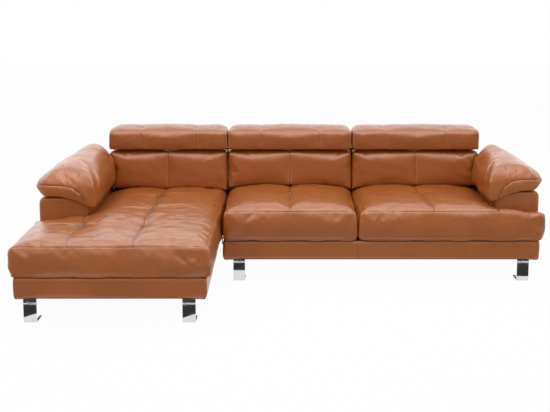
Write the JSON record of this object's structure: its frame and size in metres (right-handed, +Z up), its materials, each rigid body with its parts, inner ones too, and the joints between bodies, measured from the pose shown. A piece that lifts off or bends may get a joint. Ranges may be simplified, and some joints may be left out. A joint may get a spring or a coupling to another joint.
{
  "type": "corner sofa",
  "caption": "L-shaped leather corner sofa with a chaise, padded arms, hinged headrests that lift, and chrome strap legs.",
  "frame": {"origin": "on the floor, at the middle of the sofa's overall width and of its depth from the chaise's front to the back", "axes": "+X along the sofa's width towards the sitter's left, which is the right-hand side seen from the front; +Y from the chaise's front towards the back; +Z up"},
  "size_m": [2.8232, 1.7, 0.7933],
  "materials": {
    "leather": "semi-gloss cognac leather with a fine pebbled grain",
    "chrome": "polished chrome plate",
    "timber": "bare planed softwood and plywood",
    "spring_steel": "oiled spring wire",
    "zinc_steel": "zinc-plated steel",
    "black_plastic": "moulded black plastic",
    "dust_cloth": "black non-woven cloth",
    "twine": "waxed upholstery twine and washers"
  },
  "bodies": {
    "sofa": {"centre_support_foot": "black_plastic", "chaise_back_cover": "leather", "chaise_back_cushion": "leather", "chaise_back_frame": "timber", "chaise_base_cover_back": "leather", "chaise_base_cover_front": "leather", "chaise_base_cover_left": "leather", "chaise_base_cover_right": "leather", "chaise_base_frame": "timber", "chaise_dust_cover": "dust_cloth", "chaise_hinge_arms": "zinc_steel", "chaise_hinge_pins": "zinc_steel", "chaise_leg_front_left": "chrome", "chaise_leg_front_right": "chrome", "chaise_leg_rear_left": "chrome", "chaise_leg_rear_right": "chrome", "chaise_seat_cushion": "leather", "chaise_seat_springs": "spring_steel", "connector_hooks": "zinc_steel", "connector_pockets": "zinc_steel", "left_arm_cover": "leather", "left_arm_frame": "timber", "left_arm_pillow": "leather", "leg_screws": "zinc_steel", "middle_back_cushion": "leather", "middle_hinge_arms": "zinc_steel", "middle_hinge_pins": "zinc_steel", "middle_seat_cushion": "leather", "right_arm_cover": "leather", "right_arm_frame": "timber", "right_arm_pillow": "leather", "right_back_cushion": "leather", "right_hinge_arms": "zinc_steel", "right_hinge_pins": "zinc_steel", "right_seat_cushion": "leather", "sofa_back_cover": "leather", "sofa_back_frame": "timber", "sofa_base_cover_back": "leather", "sofa_base_cover_front": "leather", "sofa_base_cover_left": "leather", "sofa_base_cover_right": "leather", "sofa_base_frame": "timber", "sofa_dust_cover": "dust_cloth", "sofa_leg_front_left": "chrome", "sofa_leg_front_right": "chrome", "sofa_leg_rear_left": "chrome", "sofa_leg_rear_right": "chrome", "sofa_seat_springs": "spring_steel", "spring_clips": "black_plastic", "tuft_ties": "twine"},
    "chaise_headrest": {"chaise_headrest_cushion": "leather", "chaise_headrest_board": "timber", "chaise_hinge_plates": "zinc_steel"},
    "middle_headrest": {"middle_headrest_cushion": "leather", "middle_headrest_board": "timber", "middle_hinge_plates": "zinc_steel"},
    "right_headrest": {"right_headrest_cushion": "leather", "right_headrest_board": "timber", "right_hinge_plates": "zinc_steel"}
  },
  "joints": [
    {"name": "chaise_headrest_hinge", "type": "hinge", "parent": "sofa", "child": "chaise_headrest", "pos_m": [-0.74525, 0.5717, 0.679], "axis": [1, 0, 0], "range_deg": [0, 80]},
    {"name": "middle_headrest_hinge", "type": "hinge", "parent": "sofa", "child": "middle_headrest", "pos_m": [-0.013, 0.5717, 0.679], "axis": [1, 0, 0], "range_deg": [0, 80]},
    {"name": "right_headrest_hinge", "type": "hinge", "parent": "sofa", "child": "right_headrest", "pos_m": [0.74425, 0.5717, 0.679], "axis": [1, 0, 0], "range_deg": [0, 80]}
  ]
}
